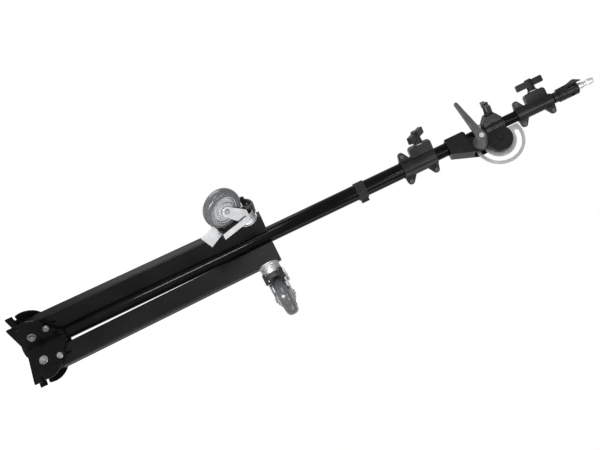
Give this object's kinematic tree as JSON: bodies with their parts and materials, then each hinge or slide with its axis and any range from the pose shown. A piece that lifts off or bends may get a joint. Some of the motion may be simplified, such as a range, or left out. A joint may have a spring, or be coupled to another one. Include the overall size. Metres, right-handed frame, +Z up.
{
  "type": "wheeled boom stand",
  "caption": "Folded three-leg roller stand with a telescopic column, a tilting slotted head, an overhead boom arm and a stud at its tip.",
  "frame": {"origin": "on the column's axis, level with the foot of the hub fins and of the column's foot cap", "axes": "+Z up the column; +X along leg 1, and the boom tilts about +Y towards +X"},
  "size_m": [0.3615, 0.3423, 1.577],
  "materials": {
    "gloss_black": "gloss black paint on tube and plate",
    "cast_black": "satin black paint on castings",
    "zinc": "bright zinc plate",
    "grey_plastic": "dark grey moulding",
    "black_plastic": "fine matt black moulding",
    "tyre_grey": "smooth grey tread",
    "hub_grey": "light grey moulding"
  },
  "bodies": {
    "column": {"column_tube": "gloss_black", "column_mouth_bush": "black_plastic", "column_foot_cap": "black_plastic", "column_band": "cast_black", "column_clamp": "cast_black", "hub_plate_1": "gloss_black", "hub_plate_2": "gloss_black", "hub_plate_3": "gloss_black", "leg_pivot_bolt_1": "zinc", "leg_pivot_bolt_2": "zinc", "leg_pivot_bolt_3": "zinc"},
    "leg_1": {"leg_tube_1": "gloss_black", "leg_end_plug_1": "black_plastic", "caster_race_1": "zinc"},
    "lock_plunger_1": {"leg_lock_plunger_1": "zinc"},
    "caster_1": {"caster_fork_1": "zinc", "caster_axle_1": "zinc"},
    "wheel_1": {"caster_tyre_1": "tyre_grey", "caster_hub_1": "hub_grey"},
    "brake_1": {"caster_pedal_1": "zinc", "caster_shoe_1": "black_plastic"},
    "leg_2": {"leg_tube_2": "gloss_black", "leg_end_plug_2": "black_plastic", "caster_race_2": "zinc"},
    "lock_plunger_2": {"leg_lock_plunger_2": "zinc"},
    "caster_2": {"caster_fork_2": "zinc", "caster_axle_2": "zinc"},
    "wheel_2": {"caster_tyre_2": "tyre_grey", "caster_hub_2": "hub_grey"},
    "brake_2": {"caster_pedal_2": "zinc", "caster_shoe_2": "black_plastic"},
    "leg_3": {"leg_tube_3": "gloss_black", "leg_end_plug_3": "black_plastic", "caster_race_3": "zinc"},
    "lock_plunger_3": {"leg_lock_plunger_3": "zinc"},
    "caster_3": {"caster_fork_3": "zinc", "caster_axle_3": "zinc"},
    "wheel_3": {"caster_tyre_3": "tyre_grey", "caster_hub_3": "hub_grey"},
    "brake_3": {"caster_pedal_3": "zinc", "caster_shoe_3": "black_plastic"},
    "column_knob": {"column_clamp_knob": "cast_black"},
    "riser": {"riser_tube": "gloss_black", "riser_foot_bush": "black_plastic", "tilt_yoke": "cast_black", "tilt_bolt": "cast_black", "tilt_clamp_stud": "zinc"},
    "lever": {"tilt_lever": "grey_plastic"},
    "head": {"boom_collar": "cast_black", "tilt_sector": "zinc"},
    "head_knob": {"collar_knob": "cast_black"},
    "boom": {"boom_tube": "gloss_black", "boom_clamp": "cast_black"},
    "boom_knob": {"boom_clamp_knob": "cast_black"},
    "extension": {"extension_tube": "gloss_black", "stud_socket": "cast_black"},
    "stud": {"tip_stud": "zinc"},
    "latch": {"stud_latch": "black_plastic"}
  },
  "joints": [
    {"name": "leg_1_fold", "type": "hinge", "parent": "column", "child": "leg_1", "pos_m": [0.05, 0, 0.041], "axis": [0, 1, 0], "range_deg": [0, 90.85]},
    {"name": "plunger_1_slide", "type": "slide", "parent": "column", "child": "lock_plunger_1", "axis": [0, 1, 0], "range_m": [0, 0.005]},
    {"name": "caster_1_swivel", "type": "hinge", "parent": "leg_1", "child": "caster_1", "pos_m": [0.07323, 0, 0.63241], "axis": [0.9999, 0, 0.0148], "continuous": true},
    {"name": "wheel_1_roll", "type": "hinge", "parent": "caster_1", "child": "wheel_1", "pos_m": [0.15017, 0.04589, 0.63676], "axis": [-0.0148, -0.0698, 0.9975], "continuous": true},
    {"name": "brake_1_press", "type": "hinge", "parent": "caster_1", "child": "brake_1", "pos_m": [0.09221, 0.01197, 0.63353], "axis": [0.0148, 0.0698, -0.9975], "range_deg": [0, 3.5]},
    {"name": "leg_2_fold", "type": "hinge", "parent": "column", "child": "leg_2", "pos_m": [-0.025, 0.0433, 0.041], "axis": [-0.866, -0.5, 0], "range_deg": [0, 90.85]},
    {"name": "plunger_2_slide", "type": "slide", "parent": "column", "child": "lock_plunger_2", "axis": [0.866, 0.5, 0], "range_m": [0, 0.005]},
    {"name": "caster_2_swivel", "type": "hinge", "parent": "leg_2", "child": "caster_2", "pos_m": [-0.03661, 0.06342, 0.63241], "axis": [-0.4999, 0.8659, 0.0148], "continuous": true},
    {"name": "wheel_2_roll", "type": "hinge", "parent": "caster_2", "child": "wheel_2", "pos_m": [-0.1131, 0.1084, 0.61934], "axis": [-0.2606, -0.1667, 0.951], "continuous": true},
    {"name": "brake_2_press", "type": "hinge", "parent": "caster_2", "child": "brake_2", "pos_m": [-0.05602, 0.07421, 0.62898], "axis": [0.2606, 0.1667, -0.951], "range_deg": [0, 3.5]},
    {"name": "leg_3_fold", "type": "hinge", "parent": "column", "child": "leg_3", "pos_m": [-0.025, -0.0433, 0.041], "axis": [0.866, -0.5, 0], "range_deg": [0, 90.85]},
    {"name": "plunger_3_slide", "type": "slide", "parent": "column", "child": "lock_plunger_3", "axis": [-0.866, 0.5, 0], "range_m": [0, 0.005]},
    {"name": "caster_3_swivel", "type": "hinge", "parent": "leg_3", "child": "caster_3", "pos_m": [-0.03661, -0.06342, 0.63241], "axis": [-0.4999, -0.8659, 0.0148], "continuous": true},
    {"name": "wheel_3_roll", "type": "hinge", "parent": "caster_3", "child": "wheel_3", "pos_m": [-0.06115, -0.13889, 0.59061], "axis": [0.8112, -0.4622, 0.3583], "continuous": true},
    {"name": "brake_3_press", "type": "hinge", "parent": "caster_3", "child": "brake_3", "pos_m": [-0.04247, -0.08217, 0.62149], "axis": [-0.8112, 0.4622, -0.3583], "range_deg": [0, 3.5]},
    {"name": "column_knob_turn", "type": "hinge", "parent": "column", "child": "column_knob", "pos_m": [0, 0, 1.101], "axis": [-0.7986, -0.6018, 0], "range_deg": [-180, 180]},
    {"name": "riser_slide", "type": "slide", "parent": "column", "child": "riser", "axis": [0, 0, 1], "range_m": [0, 0.76]},
    {"name": "lever_turn", "type": "hinge", "parent": "riser", "child": "lever", "pos_m": [0.03, 0, 1.23906], "axis": [0, 1, 0], "range_deg": [-60, 10]},
    {"name": "head_tilt", "type": "hinge", "parent": "riser", "child": "head", "pos_m": [0.0375, 0, 1.289], "axis": [0, 1, 0], "range_deg": [0, 150]},
    {"name": "head_knob_turn", "type": "hinge", "parent": "head", "child": "head_knob", "pos_m": [0, 0, 1.2935], "axis": [-0.7986, -0.6018, 0], "range_deg": [-180, 180]},
    {"name": "boom_slide", "type": "slide", "parent": "head", "child": "boom", "axis": [0, 0, 1], "range_m": [0, 0.038]},
    {"name": "boom_knob_turn", "type": "hinge", "parent": "boom", "child": "boom_knob", "pos_m": [0, 0, 1.423], "axis": [-0.9397, -0.342, 0], "range_deg": [-180, 180]},
    {"name": "extension_slide", "type": "slide", "parent": "boom", "child": "extension", "axis": [0, 0, 1], "range_m": [0, 0.13]},
    {"name": "stud_lift", "type": "slide", "parent": "extension", "child": "stud", "axis": [0, 0, 1], "range_m": [0, 0.025]},
    {"name": "latch_swing", "type": "hinge", "parent": "extension", "child": "latch", "pos_m": [-0.014, -0.0051, 1.4806], "axis": [0.342, -0.9397, 0], "range_deg": [0, 25]}
  ]
}
